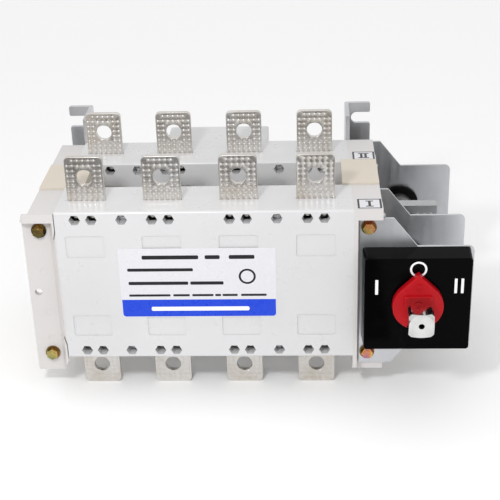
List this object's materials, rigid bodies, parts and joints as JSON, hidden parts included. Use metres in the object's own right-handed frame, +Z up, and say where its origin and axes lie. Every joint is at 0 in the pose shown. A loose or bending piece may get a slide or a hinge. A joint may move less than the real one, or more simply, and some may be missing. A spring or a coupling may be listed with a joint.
{
  "type": "manual changeover switch",
  "caption": "Boxy pair of load switches in line, with flat bored terminal tabs above and below and a rotary handle in a side panel that slides contacts to I, O or II.",
  "frame": {"origin": "in the mounting plane at mid height, midway between the two middle poles", "axes": "+X along the poles towards the handle, +Y backwards out of the mounting plane, +Z up"},
  "size_m": [0.2953, 0.198, 0.1694],
  "materials": {
    "housing_plastic": "light grey moulded polyester, satin gloss",
    "frame_plastic": "creamy white moulded plastic, satin",
    "spacer_plastic": "beige moulded plastic",
    "carrier_plastic": "red-brown thermoset, matt",
    "tinned_copper": "tin-plated copper, embossed grid",
    "copper": "bare copper, satin",
    "spring_steel": "spring steel, bright",
    "gear_steel": "machined steel, bright zinc",
    "galvanised_sheet": "zinc-plated sheet steel, dull",
    "bright_steel": "bright plated steel, near mirror",
    "zinc_fasteners": "zinc-plated",
    "yellow_zinc": "yellow chromated zinc, iridescent",
    "bush_plastic": "black bearing plastic",
    "panel_plastic": "black moulded plastic, glossy",
    "dial_plastic": "red moulded plastic, satin gloss",
    "label_film": "printed label film"
  },
  "bodies": {
    "frame": {"bay_bolts": "zinc_fasteners", "bay_nuts": "zinc_fasteners", "bay_spacers": "gear_steel", "bracket_screws": "zinc_fasteners", "cover_screws": "zinc_fasteners", "foot_screws": "zinc_fasteners", "front_cover_1": "housing_plastic", "front_cover_2": "housing_plastic", "front_label": "label_film", "front_plate": "galvanised_sheet", "handle_panel": "panel_plastic", "left_bracket": "galvanised_sheet", "left_end_frame_1": "frame_plastic", "left_end_frame_2": "frame_plastic", "left_spacer": "spacer_plastic", "lower_terminal_1_1": "tinned_copper", "lower_terminal_1_2": "tinned_copper", "lower_terminal_1_3": "tinned_copper", "lower_terminal_1_4": "tinned_copper", "lower_terminal_2_1": "tinned_copper", "lower_terminal_2_2": "tinned_copper", "lower_terminal_2_3": "tinned_copper", "lower_terminal_2_4": "tinned_copper", "middle_plate": "galvanised_sheet", "panel_screws": "zinc_fasteners", "plate_bushes": "bush_plastic", "rear_bush": "bush_plastic", "rear_foot": "housing_plastic", "rear_housing_1": "housing_plastic", "rear_housing_2": "housing_plastic", "rear_plate": "galvanised_sheet", "right_bracket": "galvanised_sheet", "right_end_frame_1": "frame_plastic", "right_end_frame_2": "frame_plastic", "right_spacer": "spacer_plastic", "tie_bolts": "yellow_zinc", "tie_nuts": "yellow_zinc", "tie_washers": "yellow_zinc", "unit_tags": "label_film", "upper_terminal_1_1": "tinned_copper", "upper_terminal_1_2": "tinned_copper", "upper_terminal_1_3": "tinned_copper", "upper_terminal_1_4": "tinned_copper", "upper_terminal_2_1": "tinned_copper", "upper_terminal_2_2": "tinned_copper", "upper_terminal_2_3": "tinned_copper", "upper_terminal_2_4": "tinned_copper"},
    "handle": {"dial": "dial_plastic", "handle_socket": "bright_steel", "drive_shaft": "gear_steel", "pinions": "gear_steel", "shaft_sleeve": "gear_steel"},
    "carrier_1": {"contact_carrier_1": "carrier_plastic", "contact_bridges_1": "copper", "leaf_springs_1": "spring_steel", "rack_1": "gear_steel"},
    "carrier_2": {"contact_carrier_2": "carrier_plastic", "contact_bridges_2": "copper", "leaf_springs_2": "spring_steel", "rack_2": "gear_steel"}
  },
  "joints": [
    {"name": "handle_turn", "type": "hinge", "parent": "frame", "child": "handle", "pos_m": [0.14025, -0.158, -0.0085], "axis": [0, 1, 0], "range_deg": [-60, 60]},
    {"name": "carrier_1_slide", "type": "slide", "parent": "frame", "child": "carrier_1", "axis": [1, 0, 0], "range_m": [-0.01414, 0.01414]},
    {"name": "carrier_2_slide", "type": "slide", "parent": "frame", "child": "carrier_2", "axis": [1, 0, 0], "range_m": [-0.01414, 0.01414]}
  ],
  "couplings": [
    {"joint": "handle_turn", "follows": "carrier_1_slide", "rad_per_m": 74.074},
    {"joint": "carrier_2_slide", "follows": "carrier_1_slide", "ratio": 1}
  ]
}
